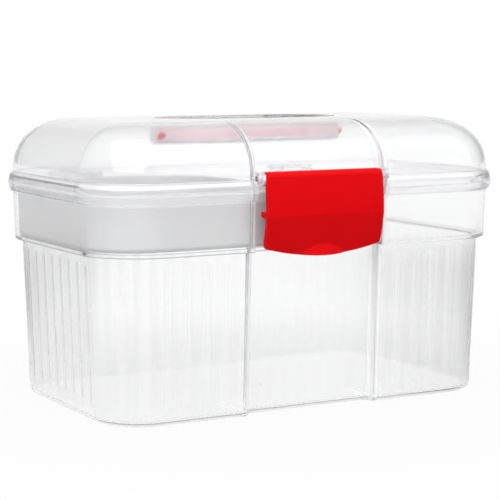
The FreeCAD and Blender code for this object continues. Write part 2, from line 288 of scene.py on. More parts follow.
for turn in quarter(roll_steps):
    hollow_levels.append(rim_level(
        inner_foot - inner_round * math.sin(turn), inner_base + inner_round * (1 - math.cos(turn)), wall
    ))
hollow = rim_outline("hollow", parting_height + wall, bead_roll, wall)
draw_out(hollow, box_half, (0, 0), hollow_levels)
combine(tub, hollow, "DIFFERENCE")

flute_width = 5.8 * mm
flute_depth = 0.12 * mm
flute_start = 0.02 * mm
flute_facets = 12
flute_pitch = 11.0 * mm
flute_bottom = 11.0 * mm
flute_top_gap = 5.0 * mm
flute_top = ledge_height - flute_top_gap
front_flutes = 4
back_flutes = 16
end_flutes = 8
front_flute_start = 53.0 * mm
front_flute_end = front_flute_start + (front_flutes - 1) * flute_pitch
back_flute_start = -(back_flutes - 1) / 2 * flute_pitch
end_flute_start = -(end_flutes - 1) / 2 * flute_pitch


def flute_row(name, first, count, across, turn):
    """Row of soft-edged flutes, as closed forms that scoop the inner face of a leaning wall."""
    middle = (flute_bottom + flute_top) / 2
    inner_face = across - base_inset + wall_slope * (middle - foot_round) - wall
    bpy.ops.object.select_all(action="DESELECT")
    bpy.ops.mesh.primitive_grid_add(
        x_subdivisions=flute_facets, y_subdivisions=1, size=1, rotation=(math.pi / 2, 0, 0)
    )
    bpy.context.object.scale = (flute_width, flute_top - flute_bottom, 1)
    row = start_piece(name)
    open_piece(row)
    for column in range(flute_facets + 1):
        share = column / flute_facets - 0.5
        scoop = flute_depth * math.cos(math.pi * share) ** 2
        pick(row, lambda p: near(p.co.x, share * flute_width))
        bpy.ops.transform.translate(value=(0, flute_start - scoop, 0))
    bpy.ops.mesh.select_all(action="SELECT")
    bpy.ops.mesh.extrude_region_move(TRANSFORM_OT_translate={"value": (0, flute_width, 0)})
    bpy.ops.mesh.select_all(action="SELECT")
    bpy.ops.mesh.normals_make_consistent(inside=False)
    close_piece()
    row.location = (first, -inner_face, middle)
    row.rotation_euler.x = math.atan(wall_slope)
    start_piece(name)
    repeat = row.modifiers.new("row", "ARRAY")
    repeat.use_relative_offset = False
    repeat.use_constant_offset = True
    repeat.constant_offset_displace = (flute_pitch, 0, 0)
    repeat.count = count
    apply_last(row)
    row.rotation_euler.z = turn
    return start_piece(name)


flutes = [
    flute_row("front_left_flutes", -front_flute_end, front_flutes, rim_half_width, 0),
    flute_row("front_right_flutes", front_flute_start, front_flutes, rim_half_width, 0),
    flute_row("back_flutes", back_flute_start, back_flutes, rim_half_width, math.pi),
    flute_row("left_flutes", end_flute_start, end_flutes, rim_half_length, -math.pi / 2),
    flute_row("right_flutes", end_flute_start, end_flutes, rim_half_length, math.pi / 2),
]
combine(tub, joined("flutes", flutes), "DIFFERENCE")

hinge_pin = 3.0 * mm
hinge_knuckle = 6.4 * mm
hinge_width = 28.0 * mm
hinge_leaf = 13.2 * mm
hinge_side_gap = 0.4 * mm
hinge_low, hinge_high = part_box("hinge_pin_left")
hinge_y = (hinge_low.y + hinge_high.y) / 2
hinge_z = (hinge_low.z + hinge_high.z) / 2
hinge_lefts = [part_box(node)[0].x for node in ("hinge_pin_left", "hinge_pin_right")]
pin_seat = 0.04 * mm
lug_width = (hinge_width - hinge_leaf) / 2 - hinge_side_gap
lug_root = rim_half_width - bead_roll
mouldings = []
for left in hinge_lefts:
    for x in (left, left + hinge_width - lug_width):
        web = block("web", (x, x + lug_width), (lug_root, hinge_y), (rim_bottom, parting_height))
        slope_edge(web, hinge_y, rim_bottom, hinge_z - hinge_knuckle / 2 - rim_bottom)
        mouldings += [web, rod("lug", hinge_knuckle, x, x + lug_width, hinge_y, hinge_z)]
catch_half = 30.0 * mm
catch_reach = 3.4 * mm
catch_bottom = 107.3 * mm
catch_top = 112.3 * mm
catch_lead = 3.75 * mm
recess_face = recess_depth + collar_inset - rim_half_width
catch_tip = recess_face - catch_reach
catch_root = recess_face + wall / 2
catch = block("catch", (-catch_half, catch_half), (catch_tip, catch_root), (catch_bottom, catch_top))
slope_edge(catch, catch_tip, catch_top, -catch_lead)
combine(tub, joined("mouldings", mouldings + [catch]), "UNION")
bores = [rod("bore", hinge_pin + pin_seat, x, x + hinge_width, hinge_y, hinge_z) for x in hinge_lefts]
gate_radius = 5.0 * mm
gate_groove = 0.5 * mm
gate_facets = 48
groove_facets = 12
bpy.ops.object.select_all(action="DESELECT")
bpy.ops.mesh.primitive_torus_add(
    major_radius=gate_radius, minor_radius=gate_groove,
    major_segments=gate_facets, minor_segments=groove_facets,
)
gate = start_piece("gate")
combine(tub, joined("bores", bores + [gate]), "DIFFERENCE")


class Value:
    """A socket of a node tree. Sums and products with other values or numbers add their Math nodes."""

    def __init__(self, tree, socket=None):
        self.tree = tree
        self.socket = socket

    def node(self, kind, settings=None, inputs=None, output=0):
        """Adds a node, with its settings first and then the values or links of its sockets."""
        node = self.tree.nodes.new(kind)
        for name, setting in (settings or {}).items():
            setattr(node, name, setting)
        for name, value in (inputs or {}).items():
            if isinstance(value, Value):
                self.tree.links.new(value.socket, node.inputs[name])
            else:
                node.inputs[name].default_value = value
        return None if output is None else Value(self.tree, node.outputs[output])

    def maths(self, operation, first, second):
        return self.node("ShaderNodeMath", {"operation": operation}, {0: first, 1: second})

    def __add__(self, other):
        return self.maths("ADD", self, other)

    def __sub__(self, other):
        return self.maths("SUBTRACT", self, other)

    def __rsub__(self, other):
        return self.maths("SUBTRACT", other, self)

    def __mul__(self, other):
        return self.maths("MULTIPLY", self, other)

    __radd__ = __add__
    __rmul__ = __mul__


def new_tree(owner):
    """Empty node tree of a material or world."""
    owner.use_nodes = True
    owner.node_tree.nodes.clear()
    return Value(owner.node_tree)


def grain(tree, scale, detail=2.0):
    """Soft noise over the piece, about 1 / scale metres across."""
    place = tree.node("ShaderNodeTexCoord", output="Object")
    return tree.node("ShaderNodeTexNoise", inputs={"Vector": place, "Scale": scale, "Detail": detail})


def dress(piece, material):
    piece.data.materials.clear()
    piece.data.materials.append(material)


def clear_plastic(name, frosted_and_shaded, frost_and_shade):
    """Clear styrene that lets lamps through to what is inside, milky in a given colour where the mould was
    left matt; on the lid that colour is darkened as painted shade.
    """
    material = bpy.data.materials.new(name)
    tree = new_tree(material)
    relief = tree.node("ShaderNodeBump", inputs={
        "Height": grain(tree, 55.0), "Strength": 0.04, "Distance": 0.4 * mm,
    })
    polished = tree.node("ShaderNodeBsdfPrincipled", inputs={
        "Base Color": (0.985, 0.987, 0.99, 1),
        "Roughness": 0.06 + 0.04 * grain(tree, 130.0),
        "IOR": 1.45,
        "Transmission Weight": 0.985,
        "Normal": relief,
    })
    matt = tree.node("ShaderNodeBsdfPrincipled", inputs={
        "Base Color": frost_and_shade,
        "Roughness": 0.5,
        "IOR": 1.45,
        "Transmission Weight": 0.3,
    })
    plastic = tree.node("ShaderNodeMixShader", inputs={0: frosted_and_shaded(tree), 1: polished, 2: matt})
    open_to_lamps = tree.node("ShaderNodeBsdfTransparent", inputs={"Color": (0.95, 0.95, 0.96, 1)})
    from_lamp = tree.node("ShaderNodeLightPath", output="Is Shadow Ray")
    surface = tree.node("ShaderNodeMixShader", inputs={0: from_lamp, 1: plastic, 2: open_to_lamps})
    depth = tree.node("ShaderNodeVolumeAbsorption", inputs={"Color": (0.5, 0.5, 0.505, 1), "Density": 7.0})
    tree.node("ShaderNodeOutputMaterial", inputs={"Surface": surface, "Volume": depth}, output=None)
    return material


def between(tree, value, low, high, blur):
    """1 where a value lies between two limits, with blurred ends, and 0 elsewhere."""
    start = tree.node("ShaderNodeMapRange", inputs={0: value, 1: low - blur, 2: low + blur, 3: 0.0, 4: 1.0})
    end = tree.node("ShaderNodeMapRange", inputs={0: value, 1: high - blur, 2: high + blur, 3: 1.0, 4: 0.0})
    return start * end


def along(tree, axis):
    """Object coordinate along an axis."""
    place = tree.node("ShaderNodeTexCoord", output="Object")
    return tree.node("ShaderNodeSeparateXYZ", inputs={0: place}, output=axis)


def ramp(tree, value, low, high, start=0.0, end=1.0):
    """Smooth change from start to end while a value goes from low to high."""
    return tree.node("ShaderNodeMapRange", {"interpolation_type": "SMOOTHSTEP"}, {
        0: value, 1: low, 2: high, 3: start, 4: end,
    })


stripe_start = -0.4
stripe_full = 0.3
flute_haze = 0.16
front_flute_share = 0.8
back_flute_share = 0.4
rim_haze = 0.12
recess_haze = 0.3
floor_haze = 0.08
floor_haze_rise = 0.8 * mm
haze_blur = 0.4 * mm
fine_blur = 0.3 * mm
flute_blur = 2 * mm
tub_frost = (0.97, 0.97, 0.975, 1)


def stripes(tree, place, first):
    """1 along each flute and 0 between them."""
    wave = tree.maths("COSINE", (place - first) * (2 * math.pi / flute_pitch), 0)
    return ramp(tree, wave, stripe_start, stripe_full)


def recess_sides(tree):
    """1 on the two steps at the sides of the front recess."""
    across = tree.maths("ABSOLUTE", along(tree, "X"), 0)
    inner = recess_half - recess_root
    outer = recess_half + recess_edge + recess_root
    step = between(tree, across, inner, outer, haze_blur)
    return step * between(tree, along(tree, "Y"), -2 * rim_half_width, -rim_half_width / 2, mm)


def fluted_walls(tree):
    """Share of haze in the tub: along the flutes, round the rim, beside the recess and in the floor."""
    x = along(tree, "X")
    y = along(tree, "Y")
    end_inside = rim_half_length - 2 * base_inset
    side_inside = rim_half_width - 2 * base_inset
    on_end = 1 - between(tree, x, -end_inside, end_inside, mm)
    on_end = on_end * between(tree, y, -4 * flute_pitch, 4 * flute_pitch, mm)
    on_front = between(tree, y, -rim_half_width, -side_inside, mm)
    on_front = on_front * (1 - between(tree, x, -recess_half, recess_half, mm))
    on_back = between(tree, y, side_inside, rim_half_width, mm)
    across = tree.maths("ABSOLUTE", x, 0)
    rows = on_end * stripes(tree, y, flute_pitch / 2)
    rows = rows + back_flute_share * on_back * stripes(tree, x, flute_pitch / 2)
    rows = rows + front_flute_share * on_front * stripes(tree, across, front_flute_start)
    z = along(tree, "Z")
    rows = rows * between(tree, z, 2 * foot_round, flute_top, flute_blur)
    rim = between(tree, z, rim_bottom - mm, parting_height + mm, haze_blur)
    low = between(tree, z, -mm, floor_thickness + floor_haze_rise, fine_blur)
    return flute_haze * rows + rim_haze * rim + recess_haze * recess_sides(tree) + floor_haze * low


smooth(tub, clear_shading)
dress(tub, clear_plastic("clear_tub_styrene", fluted_walls, tub_frost))
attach(tub, "tub")
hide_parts("tub")

# Hinge pins: two short rods of natural, unpigmented plastic, with rounded ends. Each is pushed through two
# lugs of the tub, which hold it, and through the lid's knuckle between them, which turns on it.
rod_edge = 0.4 * mm
rod_edge_facets = 3
rod_shading = 30


def natural_plastic(name):
    """Unpigmented rod stock: milky and softly shining."""
    material = bpy.data.materials.new(name)
    tree = new_tree(material)
    shade = tree.node("ShaderNodeMix", {"data_type": "RGBA"}, {
        0: grain(tree, 300.0), 6: (0.92, 0.92, 0.915, 1), 7: (0.97, 0.97, 0.97, 1),
    }, output=2)
    plastic = tree.node("ShaderNodeBsdfPrincipled", inputs={
        "Base Color": shade,
        "Roughness": 0.14 + 0.1 * grain(tree, 700.0),
        "Transmission Weight": 0.96,
        "IOR": 1.4,
    })
    tree.node("ShaderNodeOutputMaterial", inputs={"Surface": plastic}, output=None)
    return material


def soften(piece, width, facets, angle=35):
    """Rounds the sharp edges of a piece."""
    rounding = piece.modifiers.new("rounding", "BEVEL")
    rounding.width = width
    rounding.segments = facets
    rounding.limit_method = "ANGLE"
    rounding.angle_limit = math.radians(angle)
    apply_last(piece)


rod_plastic = natural_plastic("natural_rod_plastic")
for left, node in zip(hinge_lefts, ("hinge_pin_left", "hinge_pin_right")):
    pin = rod(node.replace("pin", "rod"), hinge_pin, left, left + hinge_width, hinge_y, hinge_z)
    soften(pin, rod_edge, rod_edge_facets)
    smooth(pin, rod_shading)
    dress(pin, rod_plastic)
    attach(pin, "tub")
    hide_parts(node)

# Lid: the clear domed cover, moulded of the same styrene. Its rolled rim sits on the tub's bead and the
# recess runs on up its front. A well for the handle is sunk into the flat top, and ears at the recess
# carry the latch's rod.
parting_gap = 0.2 * mm
lid_bottom = parting_height + parting_gap
dome_base = 123.5 * mm
lid_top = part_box("lid")[1].z
dome_end = 33.5 * mm
dome_side = 37.3 * mm
dome_top_corner = 6.0 * mm
dome_fullness = 2.32
dome_steps = 18
lid = rim_outline("lid_moulding", lid_bottom, 0, 0)
lid_levels = [rim_level(lid_bottom, 0)]
for turn in quarter(roll_steps):
    rise = (dome_base - lid_bottom) * math.sin(turn)
    lid_levels.append(rim_level(lid_bottom + rise, bead_roll * (1 - math.cos(turn))))


def dome_levels(skin):
    """Levels up the dome's outer face, or skin further in for its inner face."""
    foot_corner = rim_corner - bead_roll - skin
    levels = []
    for turn in quarter(dome_steps):
        rise = math.sin(turn) ** (2 / dome_fullness)
        lean = 1 - max(math.cos(turn), 0) ** (2 / dome_fullness)
        levels.append((
            dome_base + (lid_top - skin - dome_base) * rise,
            bead_roll + skin + (dome_end - skin) * lean,
            bead_roll + skin + (dome_side - skin) * lean,
            foot_corner - (foot_corner - dome_top_corner) * lean,
        ))
    return levels


draw_out(lid, box_half, (0, 0), lid_levels + dome_levels(0))
hollow_levels = [
    rim_level(lid_bottom - wall, 0, wall),
    rim_level((lid_bottom + dome_base) / 2, 0, wall),
    rim_level(dome_base, bead_roll, wall),
]
hollow = rim_outline("hollow", lid_bottom - wall, 0, wall)
draw_out(hollow, box_half, (0, 0), hollow_levels + dome_levels(wall))
combine(lid, hollow, "DIFFERENCE")

well_end = 55.0 * mm
well_side = 24.0 * mm
well_end_flat = 10.0 * mm
well_side_flat = 33.0 * mm
well_end_round = 16.0 * mm
well_side_round = 45.0 * mm
well_centre = 6.0 * mm
well_floor = 142.6 * mm
well_wall = 1.8 * mm
well_facets = 9
well_outer_round = 2.4 * mm
well_outer_facets = 5
well_inner_round = 1.0 * mm
well_inner_facets = 4


def oval(name, grow, z_from, z_to):
    """Prism in the oval outline of the handle's well, grown by some wall and left open for editing."""
    end_turn = math.atan2(well_end - well_side_flat, well_side - well_end_flat)
    side_turn = math.pi / 2 - end_turn
    end = well_end + grow
    side = well_side + grow
    flat_end = well_end_flat + grow * math.tan(end_turn / 2)
    flat_side = well_side_flat + grow * math.tan(side_turn / 2)
    bpy.ops.object.select_all(action="DESELECT")
    bpy.ops.mesh.primitive_plane_add(size=2, location=(0, well_centre, z_from))
    bpy.context.object.scale = (end, flat_end, 1)
    piece = start_piece(name)
    open_piece(piece)
    for way in (-1, 1):
        pick(piece, lambda p: near(p.co.y, well_centre + way * flat_end))
        bpy.ops.mesh.extrude_region_move(TRANSFORM_OT_translate={"value": (0, way * (side - flat_end), 0)})
        bpy.ops.transform.resize(value=(flat_side / end, 1, 1), center_override=(0, 0, 0))
    merge_outline()
    end_reach = (well_end_round + grow) * math.tan(end_turn / 2)
    side_reach = (well_side_round + grow) * math.tan(side_turn / 2)
    round_corners(piece, lambda p: near(abs(p.co.x), end), end_reach, well_facets)
    round_corners(
        piece, lambda p: near(abs(p.co.x), flat_side) and near(abs(p.co.y - well_centre), side),
        side_reach, well_facets,
    )
    bpy.ops.mesh.select_all(action="SELECT")
    bpy.ops.mesh.extrude_region_move(TRANSFORM_OT_translate={"value": (0, 0, z_to - z_from)})
    bpy.ops.mesh.select_all(action="SELECT")
    bpy.ops.mesh.normals_make_consistent(inside=False)
    return piece


def round_edge(piece, wanted, reach, facets):
    """Rounds the edges between the picked points of the open piece."""
    pick(piece, wanted)
    bpy.ops.mesh.bevel(offset=reach, segments=facets, affect="EDGES", profile=0.5)


well_block = oval("well_block", well_wall, well_floor - well_wall, lid_top - wall / 2)
round_edge(
    well_block, lambda p: near(p.co.z, well_floor - well_wall), well_outer_round, well_outer_facets
)
close_piece()
latch_low, latch_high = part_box("latch_pin")
latch_rod = 3.2 * mm
latch_rod_y = (latch_low.y + latch_high.y) / 2
latch_rod_z = (latch_low.z + latch_high.z) / 2
latch_half = 35.0 * mm
ear_gap = 0.4 * mm
ear_diameter = 6.6 * mm
ear_root = recess_depth + bead_roll - rim_half_width + wall / 2
mouldings = [well_block]
for side in (-1, 1):
    ear = sorted((side * (latch_half + ear_gap), side * (recess_half + wall / 2)))
    ear_height = (latch_rod_z - ear_diameter / 2, latch_rod_z + ear_diameter / 2)
    mouldings.append(block("ear_web", ear, (latch_rod_y, ear_root), ear_height))
    mouldings.append(rod("ear", ear_diameter, ear[0], ear[1], latch_rod_y, latch_rod_z))
leaf_root = rim_half_width - wall
for left in hinge_lefts:
    x = left + (hinge_width - hinge_leaf) / 2
    leaf_top = hinge_z + hinge_knuckle / 2
    web = block("web", (x, x + hinge_leaf), (leaf_root, hinge_y), (hinge_z, leaf_top))
    slope_edge(web, leaf_root, leaf_top, -hinge_knuckle / 4)
    mouldings += [web, rod("knuckle", hinge_knuckle, x, x + hinge_leaf, hinge_y, hinge_z)]
combine(lid, joined("mouldings", mouldings), "UNION")
hollow = oval("hollow", 0, well_floor, lid_top + wall)
round_edge(hollow, lambda p: near(p.co.z, well_floor), well_inner_round, well_inner_facets)
close_piece()
combine(lid, hollow, "DIFFERENCE")
pivot = 4.0 * mm
pivot_rise = 3.7 * mm
pivot_y = -1.0 * mm
pivot_z = well_floor + pivot_rise
pivot_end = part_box("handle")[1].x
pin_running = 0.16 * mm
bores = [
    rod("bore", latch_rod + pin_seat, latch_low.x, latch_high.x, latch_rod_y, latch_rod_z),
    rod("bore", pivot + pin_running, -pivot_end, pivot_end, pivot_y, pivot_z),
]
for x in hinge_lefts:
    bores.append(rod("bore", hinge_pin + pin_running, x, x + hinge_width, hinge_y, hinge_z))
combine(lid, joined("bores", bores), "DIFFERENCE")
smooth(lid, clear_shading)
well_haze_and_shade = 0.45
well_polish = 0.6 * mm
# The lid's haze colour is a darker grey-violet than the tub's near-white frost. It is painted shade over the
# handle in its well, and the same darker tint lies on the lid's rim and recess.
lid_frost_and_shade = (0.8, 0.78, 0.83, 1)


def matt_and_shaded_well(tree):
    """Share of haze in the lid, in a darker colour that is painted shade: in the handle's well below the
    polished top, the rim and the recess.
    """
    well_front = well_centre - well_side - wall
    well_back = well_centre + well_side + wall
    matt_top = lid_top - wall - well_polish
    inside = between(tree, along(tree, "X"), -well_end - wall, well_end + wall, mm)
    inside = inside * between(tree, along(tree, "Y"), well_front, well_back, mm)
    z = along(tree, "Z")
    inside = inside * between(tree, z, well_floor - 2 * wall, matt_top, fine_blur)
    rim = between(tree, z, lid_bottom - mm, dome_base, haze_blur)
    return well_haze_and_shade * inside + rim_haze * rim + recess_haze * recess_sides(tree)


# The lid's matt parts take the darker grey-violet, which is painted shade.
dress(lid, clear_plastic("clear_lid_styrene", matt_and_shaded_well, lid_frost_and_shade))
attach(lid, "lid")
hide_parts("lid")

# Tray: a loose open tray of milky polypropylene that rests on the tub's ledge and slides along it. It is
# about half as long as the box, has rounded corners like the collar's, and flares a little to the top so
# that it leaves its mould.
tray_low, tray_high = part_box("tray")
tray_wall = 1.6 * mm
tray_flare = 0.4 * mm
tray_corner = 30.8 * mm
tray_round = 3.1 * mm
tray_edge = 0.4 * mm
tray_edge_facets = 2
tray_shading = 30
tray_half = ((tray_high.x - tray_low.x) / 2, (tray_high.y - tray_low.y) / 2, 0)
tray_middle = ((tray_high.x + tray_low.x) / 2, (tray_high.y + tray_low.y) / 2)


def tray_form(name, z_from, z_to, skin, edge_round):
    """Closed form of the tray, or skin further in for its hollow, with a rounded bottom edge."""
    corner = tray_corner - skin
    bpy.ops.object.select_all(action="DESELECT")
    bpy.ops.mesh.primitive_plane_add(size=2, location=(*tray_middle, z_to))
    bpy.context.object.scale = (tray_half[0] - skin, tray_half[1] - skin, 1)
    form = start_piece(name)
    open_piece(form)
    round_corners(form, lambda p: True, corner, corner_facets)
    bpy.ops.mesh.select_all(action="SELECT")
    levels = [
        (z_to, skin, skin, corner),
        (z_from + edge_round, skin + tray_flare, skin + tray_flare, corner - tray_flare),
    ]
    for turn in quarter(roll_steps):
        height = z_from + edge_round * (1 - math.sin(turn))
        inset = tray_flare + edge_round * (1 - math.cos(turn))
        levels.append((height, skin + inset, skin + inset, corner - inset))
    draw_out(form, tray_half, tray_middle, levels)
    return form


tray = tray_form("tray_moulding", tray_low.z, tray_high.z, 0, tray_round)
hollow = tray_form(
    "hollow", tray_low.z + tray_wall, tray_high.z + tray_wall, tray_wall, tray_round - tray_wall
)
combine(tray, hollow, "DIFFERENCE")
soften(tray, tray_edge, tray_edge_facets)
smooth(tray, tray_shading)


def milky_plastic(name):
    """Unpigmented polypropylene: lets light through but hardly any shapes."""
    material = bpy.data.materials.new(name)
    tree = new_tree(material)
    shade = tree.node("ShaderNodeMix", {"data_type": "RGBA"}, {
        0: grain(tree, 18.0, 4.0), 6: (0.68, 0.68, 0.68, 1), 7: (0.73, 0.73, 0.735, 1),
    }, output=2)
    relief = tree.node("ShaderNodeBump", inputs={
        "Height": grain(tree, 900.0), "Strength": 0.06, "Distance": 0.1 * mm,
    })
    plastic = tree.node("ShaderNodeBsdfPrincipled", inputs={
        "Base Color": shade,
        "Roughness": 0.38 + 0.12 * grain(tree, 240.0),
        "Transmission Weight": 0.25,
        "IOR": 1.49,
        "Normal": relief,
    })
    tree.node("ShaderNodeOutputMaterial", inputs={"Surface": plastic}, output=None)
    return material


dress(tray, milky_plastic("milky_tray_plastic"))
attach(tray, "tray")
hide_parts("tray")

# Handle: a red bail, moulded in one piece with its two pivots, which spring into holes at the ends of the
# well. Folded, it lies in the well with its grip along the back; its square heels stop it when it stands up.
handle_below = 3.0 * mm
handle_above = 3.4 * mm
handle_bottom = pivot_z - handle_below
handle_top = pivot_z + handle_above
handle_gap = 1.2 * mm
handle_half = 51.0 * mm
heel_reach = 3.4 * mm
handle_heel = pivot_y - heel_reach
heel_round = 2.9 * mm
heel_facets = 6
handle_arm = 7.5 * mm
handle_grip = 9.5 * mm
grip_facets = 8
handle_edge = 1.4 * mm
handle_edge_facets = 4
handle_edge_angle = 50
handle_shading = 35
handle_deep_red = (0.58, 0.001, 0.002)
handle_bright_red = (0.63, 0.002, 0.004)
handle = oval("handle_bail", -handle_gap, handle_bottom, handle_top)
trims = [
    ((0, handle_heel, 0), (0, -1, 0)),
    ((handle_half, 0, 0), (1, 0, 0)),
    ((-handle_half, 0, 0), (-1, 0, 0)),
]
for place, facing in trims:
    bpy.ops.mesh.select_all(action="SELECT")
    bpy.ops.mesh.bisect(plane_co=place, plane_no=facing, use_fill=True, clear_outer=True)
round_edge(
    handle, lambda p: near(p.co.y, handle_heel) and near(p.co.z, handle_bottom), heel_round, heel_facets
)
close_piece()
arm_inside = handle_half - handle_arm
grip_inside = well_centre + well_side - handle_gap - handle_grip
finger_gap = block(
    "finger_gap", (-arm_inside, arm_inside), (handle_heel - handle_arm, grip_inside),
    (handle_bottom - handle_arm, handle_top + handle_arm)
)
open_piece(finger_gap)
bpy.ops.mesh.select_mode(type="EDGE")
for side in (-1, 1):
    round_edge(
        finger_gap, lambda p: near(p.co.y, grip_inside) and near(p.co.x, side * arm_inside),
        handle_arm, grip_facets,
    )
close_piece()
combine(handle, finger_gap, "DIFFERENCE")
soften(handle, handle_edge, handle_edge_facets, handle_edge_angle)
pivots = [
    rod("pivot", pivot, side * (arm_inside + handle_arm / 2), side * pivot_end, pivot_y, pivot_z)
    for side in (-1, 1)
]
combine(handle, joined("pivots", pivots), "UNION")
smooth(handle, handle_shading)


def red_plastic(name, deep, bright):
    """Opaque pigmented plastic with a fine spark-eroded grain and slightly uneven pigment."""
    material = bpy.data.materials.new(name)
    tree = new_tree(material)
    shade = tree.node("ShaderNodeMix", {"data_type": "RGBA"}, {
        0: grain(tree, 45.0, 5.0), 6: (*deep, 1), 7: (*bright, 1),
    }, output=2)
    relief = tree.node("ShaderNodeBump", inputs={
        "Height": grain(tree, 2600.0), "Strength": 0.12, "Distance": 0.05 * mm,
    })
    plastic = tree.node("ShaderNodeBsdfPrincipled", inputs={
        "Base Color": shade,
        "Roughness": 0.26 + 0.12 * grain(tree, 320.0),
        "IOR": 1.49,
        "Specular IOR Level": 0.05,
        "Normal": relief,
    })
    tree.node("ShaderNodeOutputMaterial", inputs={"Surface": plastic}, output=None)
    return material


dress(handle, red_plastic("red_handle_plastic", handle_deep_red, handle_bright_red))
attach(handle, "handle")
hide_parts("handle")

# Latch rod: a longer rod of the same natural plastic as the hinge pins, pressed into the lid's two ears.
# The latch's clip hangs and turns on it.
latch_pin = rod("latch_rod", latch_rod, latch_low.x, latch_high.x, latch_rod_y, latch_rod_z)
soften(latch_pin, rod_edge, rod_edge_facets)
smooth(latch_pin, rod_shading)
dress(latch_pin, rod_plastic)
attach(latch_pin, "lid")
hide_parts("latch_pin")

# Latch: a moulded red plate, bowed in two stretches that meet at a crease. An open clip along its top snaps
# over the rod, a rib behind it hooks under the tub's catch, and a lip at its foot gives the thumb a hold.
clip_diameter = 7.0 * mm
clip_mouth = 2.6 * mm
latch_thickness = 2.4 * mm
latch_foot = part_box("latch")[0].z
latch_columns = 24
latch_rows = 21
crease_row = 11
crease_reach = 11.4 * mm
foot_reach = 6.6 * mm
latch_face = latch_rod_y - clip_diameter / 2
crease_y = recess_face - crease_reach
foot_y = recess_face - foot_reach
upper_bow = 0.35 * mm
lower_bow = 0.25 * mm
plate_height = latch_rod_z - latch_foot
bpy.ops.object.select_all(action="DESELECT")
bpy.ops.mesh.primitive_grid_add(
    x_subdivisions=latch_columns, y_subdivisions=latch_rows, size=1,
    location=(0, 0, (latch_foot + latch_rod_z) / 2), rotation=(math.pi / 2, 0, 0),
)
bpy.context.object.scale = (2 * latch_half, plate_height, 1)
latch = start_piece("latch_plate")
open_piece(latch)
for row in range(latch_rows + 1):
    if row <= crease_row:
        part = row / crease_row
        reach = foot_y + (crease_y - foot_y) * part - 4 * lower_bow * part * (1 - part)
    else:
        part = (row - crease_row) / (latch_rows - crease_row)
        reach = crease_y + (latch_face - crease_y) * part - 4 * upper_bow * part * (1 - part)
    row_height = latch_foot + plate_height * row / latch_rows
    pick(latch, lambda p: near(p.co.z, row_height))
    bpy.ops.transform.translate(value=(0, reach, 0))
close_piece()
sheet = latch.modifiers.new("thickness", "SOLIDIFY")
sheet.thickness = latch_thickness
sheet.offset = -1
sheet.use_even_offset = True
apply_last(latch)
hook_top = 107.0 * mm
hook_thickness = 2.5 * mm
hook_gap = 0.3 * mm
hook_bottom = hook_top - hook_thickness
hook_tip = recess_face - catch_reach - hook_gap
hook_root = crease_y + latch_thickness / 2
hook = block("hook", (-latch_half, latch_half), (hook_root, hook_tip), (hook_bottom, hook_top))
slope_edge(hook, hook_root, hook_bottom, -hook_thickness / 2)
clip_facets = 64
clip = rod("clip", clip_diameter, -latch_half, latch_half, latch_rod_y, latch_rod_z, clip_facets)
lip_half = 15.0 * mm
lip_height = 6.0 * mm
lip_reach = 3.0 * mm
lip_facets = 360
lip_radius = (lip_half ** 2 + lip_reach ** 2) / (2 * lip_reach)
lip_start = lip_height / (plate_height * crease_row / latch_rows)
lip_rise = (crease_y - foot_y) * lip_start - 4 * lower_bow * lip_start * (1 - lip_start)
lip_tilt = math.atan((lip_rise + lip_reach) / lip_height)
bpy.ops.object.select_all(action="DESELECT")
bpy.ops.mesh.primitive_cylinder_add(
    vertices=lip_facets, radius=lip_radius, depth=4 * lip_height, rotation=(-lip_tilt, 0, 0),
    location=(
        0,
        foot_y - lip_reach + lip_radius * math.cos(lip_tilt),
        latch_foot - lip_radius * math.sin(lip_tilt),
    ),
)
lip = start_piece("lip")
lip_bounds = block(
    "lip_bounds", (-lip_half, lip_half), (foot_y - 2 * lip_reach, foot_y + latch_thickness / 2),
    (latch_foot - lip_reach, latch_foot + lip_height)
)
combine(lip, lip_bounds, "INTERSECT")
combine(latch, joined("clip_and_hook", [clip, hook]), "UNION")
combine(latch, lip, "UNION")

foot_bow = 4.2 * mm
foot_corner = latch_foot + foot_bow
foot_round_reach = 3.0 * mm
foot_round_facets = 8
top_round_reach = 1.8 * mm
top_round_facets = 5
clip_top = latch_rod_z + clip_diameter / 2
foot_flat = latch_half - foot_round_reach
bow_cuts = 15
bpy.ops.object.select_all(action="DESELECT")
bpy.ops.mesh.primitive_plane_add(
    size=2, rotation=(math.pi / 2, 0, 0),
    location=(0, latch_face - clip_diameter, (foot_corner + clip_top) / 2),
)
bpy.context.object.scale = (latch_half, (clip_top - foot_corner) / 2, 1)
outline = start_piece("latch_outline")
open_piece(outline)
round_corners(outline, lambda p: near(p.co.z, clip_top), top_round_reach, top_round_facets)
round_corners(outline, lambda p: near(p.co.z, foot_corner), foot_round_reach, foot_round_facets)
pick(outline, lambda p: near(p.co.z, foot_corner))
bpy.ops.mesh.subdivide(number_cuts=bow_cuts)
for cut in range(1, bow_cuts + 1):
    across = 2 * cut / (bow_cuts + 1) - 1
    pick(outline, lambda p: near(p.co.x, across * foot_flat) and p.co.z < foot_corner + margin)
    bpy.ops.transform.translate(value=(0, 0, (latch_foot - foot_corner) * (1 - across ** 2)))
bpy.ops.mesh.select_all(action="SELECT")
bpy.ops.mesh.extrude_region_move(TRANSFORM_OT_translate={"value": (0, 4 * clip_diameter, 0)})
bpy.ops.mesh.select_all(action="SELECT")
bpy.ops.mesh.normals_make_consistent(inside=False)
close_piece()
combine(latch, outline, "INTERSECT")
latch_end = latch_half + latch_thickness
bore = rod("bore", latch_rod + pin_running, -latch_end, latch_end, latch_rod_y, latch_rod_z)
combine(latch, bore, "DIFFERENCE")
mouth = block(
    "mouth", (-latch_end, latch_end), (latch_rod_y, latch_rod_y + clip_diameter),
    (latch_rod_z - clip_mouth / 2, latch_rod_z + clip_mouth / 2)
)
combine(latch, mouth, "DIFFERENCE")
latch_edge = 0.45 * mm
